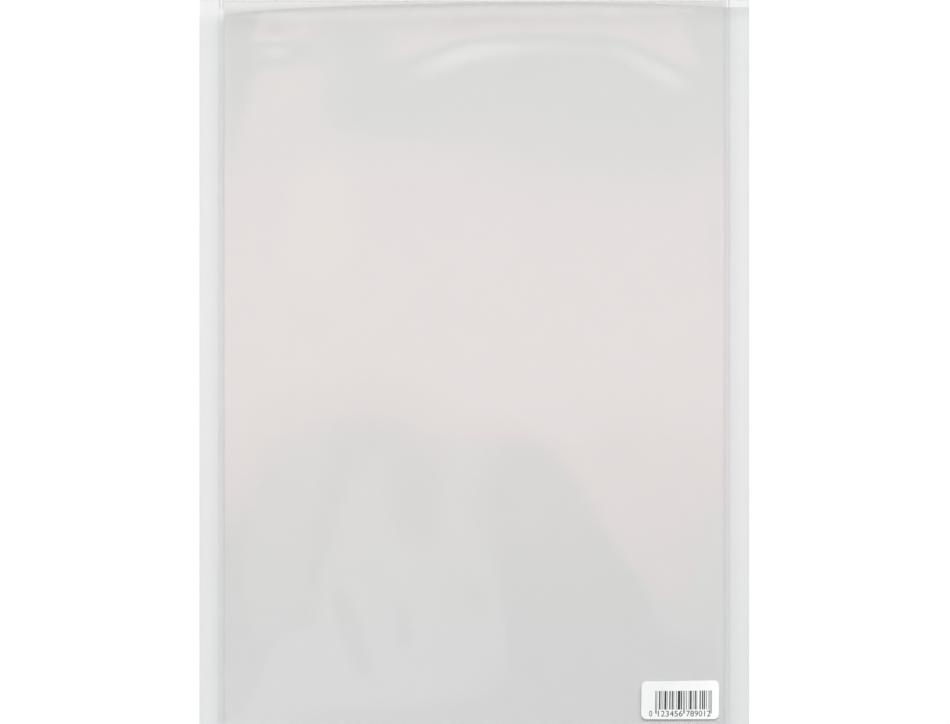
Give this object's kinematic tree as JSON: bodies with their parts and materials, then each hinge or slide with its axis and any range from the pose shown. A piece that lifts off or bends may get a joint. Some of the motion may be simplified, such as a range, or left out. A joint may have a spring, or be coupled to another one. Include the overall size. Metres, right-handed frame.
{
  "type": "document sleeve",
  "caption": "Clear plastic film sleeve for loose pages: a front and a rear pocket behind a shared open mouth, welded side and bottom seams, and a small paper label.",
  "frame": {"origin": "centre of the sleeve's outline, on the table under the back film", "axes": "+Y towards the open mouth, +X to the right as seen from the front, +Z out of the front film"},
  "size_m": [0.24, 0.335, 0.0082],
  "materials": {
    "clear_film": "clear glossy flexible vinyl film",
    "welded_film": "clear film fused by heat, with two pressed ridges",
    "label_paper": "white coated label paper"
  },
  "bodies": {
    "pocket_back": {"back_sheet": "clear_film", "left_seam": "welded_film", "right_seam": "welded_film", "bottom_seam": "welded_film"},
    "divider_film": {"divider_sheet": "clear_film"},
    "front_film": {"front_sheet": "clear_film", "barcode_label": "label_paper"}
  },
  "joints": [
    {"name": "mouth_open", "type": "hinge", "parent": "pocket_back", "child": "front_film", "pos_m": [0, -0.15645, 0.0011], "axis": [1, 0, 0], "range_deg": [0, 3], "stiffness_Nm_per_rad": 0.8},
    {"name": "divider_open", "type": "hinge", "parent": "pocket_back", "child": "divider_film", "pos_m": [0, -0.15645, 0.0006], "axis": [1, 0, 0], "range_deg": [0, 1.5]}
  ],
  "couplings": [
    {"joint": "divider_open", "follows": "mouth_open", "ratio": 0.5}
  ]
}
